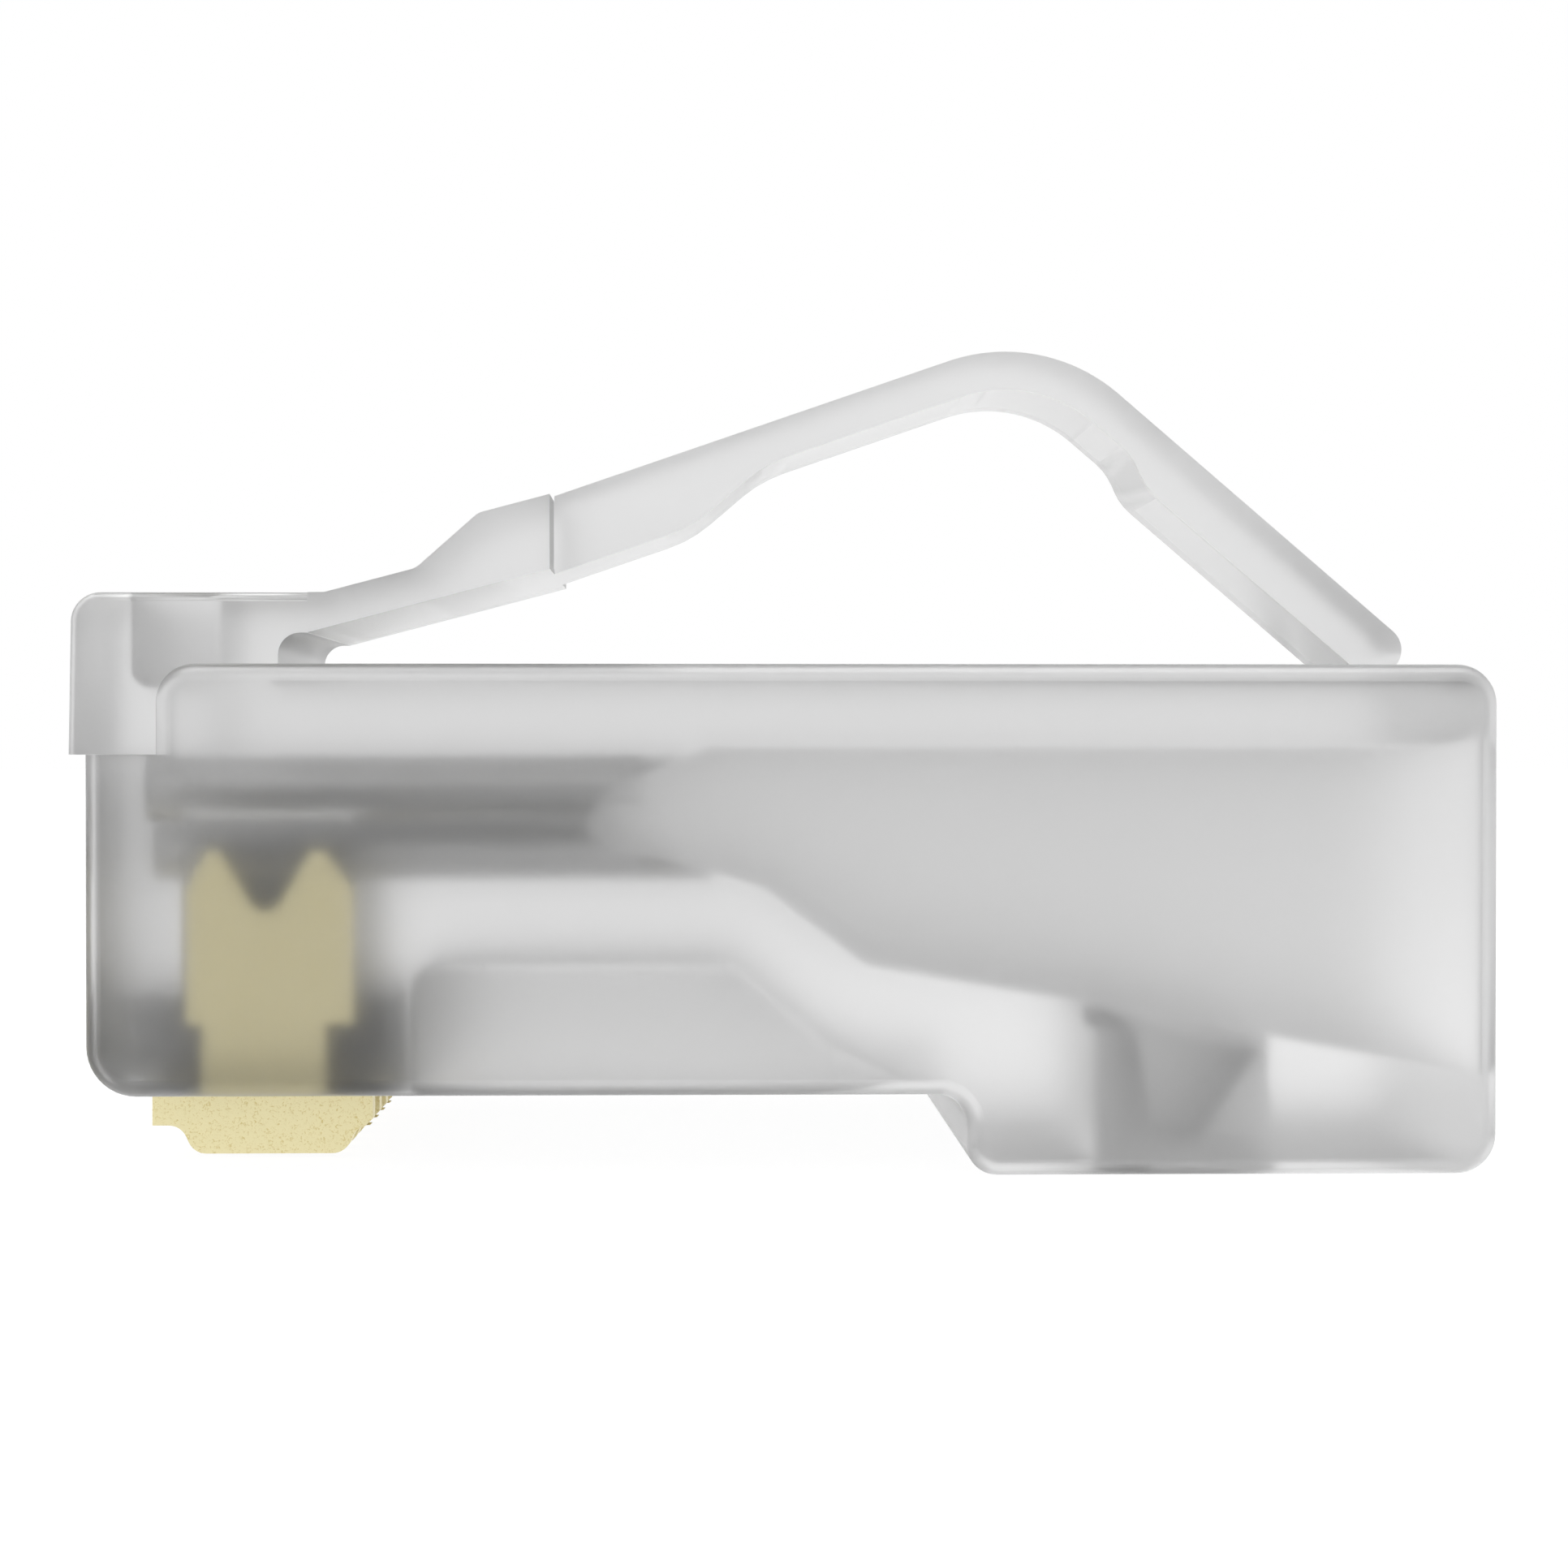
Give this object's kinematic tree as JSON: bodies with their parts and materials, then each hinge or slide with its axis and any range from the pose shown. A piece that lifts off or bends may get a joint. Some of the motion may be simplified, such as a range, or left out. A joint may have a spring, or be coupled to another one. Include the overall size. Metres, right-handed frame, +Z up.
{
  "type": "rj45 modular plug",
  "caption": "Clear plastic modular plug, not yet crimped, with an arched snag-proof latch, a row of gold contact blades standing proud and a pressure bar in its heel.",
  "frame": {"origin": "middle of the plug's length and width, at the level of the underside of its heel", "axes": "+X towards the cable end, +Y across the contacts, +Z up through the latch"},
  "size_m": [0.022, 0.0116, 0.0129],
  "materials": {
    "clear_polycarbonate": "clear moulded polycarbonate, lightly frosted",
    "gold_contact": "thin gold plate on phosphor bronze"
  },
  "bodies": {
    "housing": {"housing": "clear_polycarbonate"},
    "latch_arm": {"latch_arm": "clear_polycarbonate"},
    "latch_tail": {"latch_tail": "clear_polycarbonate"},
    "strain_relief_bar": {"strain_relief_bar": "clear_polycarbonate"},
    "contact_1": {"contact_1": "gold_contact"},
    "contact_2": {"contact_2": "gold_contact"},
    "contact_3": {"contact_3": "gold_contact"},
    "contact_4": {"contact_4": "gold_contact"},
    "contact_5": {"contact_5": "gold_contact"},
    "contact_6": {"contact_6": "gold_contact"},
    "contact_7": {"contact_7": "gold_contact"},
    "contact_8": {"contact_8": "gold_contact"}
  },
  "joints": [
    {"name": "latch_flex", "type": "hinge", "parent": "housing", "child": "latch_arm", "pos_m": [-0.00707, 0, 0.00861], "axis": [0, 1, 0], "range_deg": [0, 15], "stiffness_Nm_per_rad": 0.01},
    {"name": "arch_flex", "type": "hinge", "parent": "latch_arm", "child": "latch_tail", "pos_m": [0.00396, 0, 0.01263], "axis": [0, 1, 0], "range_deg": [-40, 0]},
    {"name": "strain_relief_hinge", "type": "hinge", "parent": "housing", "child": "strain_relief_bar", "pos_m": [0.00509, 0, 0.00232], "axis": [0, -1, 0], "range_deg": [0, 24]},
    {"name": "contact_1_press", "type": "slide", "parent": "housing", "child": "contact_1", "axis": [0, 0, 1], "range_m": [0, 0.00135]},
    {"name": "contact_2_press", "type": "slide", "parent": "housing", "child": "contact_2", "axis": [0, 0, 1], "range_m": [0, 0.00135]},
    {"name": "contact_3_press", "type": "slide", "parent": "housing", "child": "contact_3", "axis": [0, 0, 1], "range_m": [0, 0.00135]},
    {"name": "contact_4_press", "type": "slide", "parent": "housing", "child": "contact_4", "axis": [0, 0, 1], "range_m": [0, 0.00135]},
    {"name": "contact_5_press", "type": "slide", "parent": "housing", "child": "contact_5", "axis": [0, 0, 1], "range_m": [0, 0.00135]},
    {"name": "contact_6_press", "type": "slide", "parent": "housing", "child": "contact_6", "axis": [0, 0, 1], "range_m": [0, 0.00135]},
    {"name": "contact_7_press", "type": "slide", "parent": "housing", "child": "contact_7", "axis": [0, 0, 1], "range_m": [0, 0.00135]},
    {"name": "contact_8_press", "type": "slide", "parent": "housing", "child": "contact_8", "axis": [0, 0, 1], "range_m": [0, 0.00135]}
  ],
  "couplings": [
    {"joint": "arch_flex", "follows": "latch_flex", "ratio": -2.6574},
    {"joint": "contact_2_press", "follows": "contact_1_press", "ratio": 1},
    {"joint": "contact_3_press", "follows": "contact_1_press", "ratio": 1},
    {"joint": "contact_4_press", "follows": "contact_1_press", "ratio": 1},
    {"joint": "contact_5_press", "follows": "contact_1_press", "ratio": 1},
    {"joint": "contact_6_press", "follows": "contact_1_press", "ratio": 1},
    {"joint": "contact_7_press", "follows": "contact_1_press", "ratio": 1},
    {"joint": "contact_8_press", "follows": "contact_1_press", "ratio": 1}
  ]
}
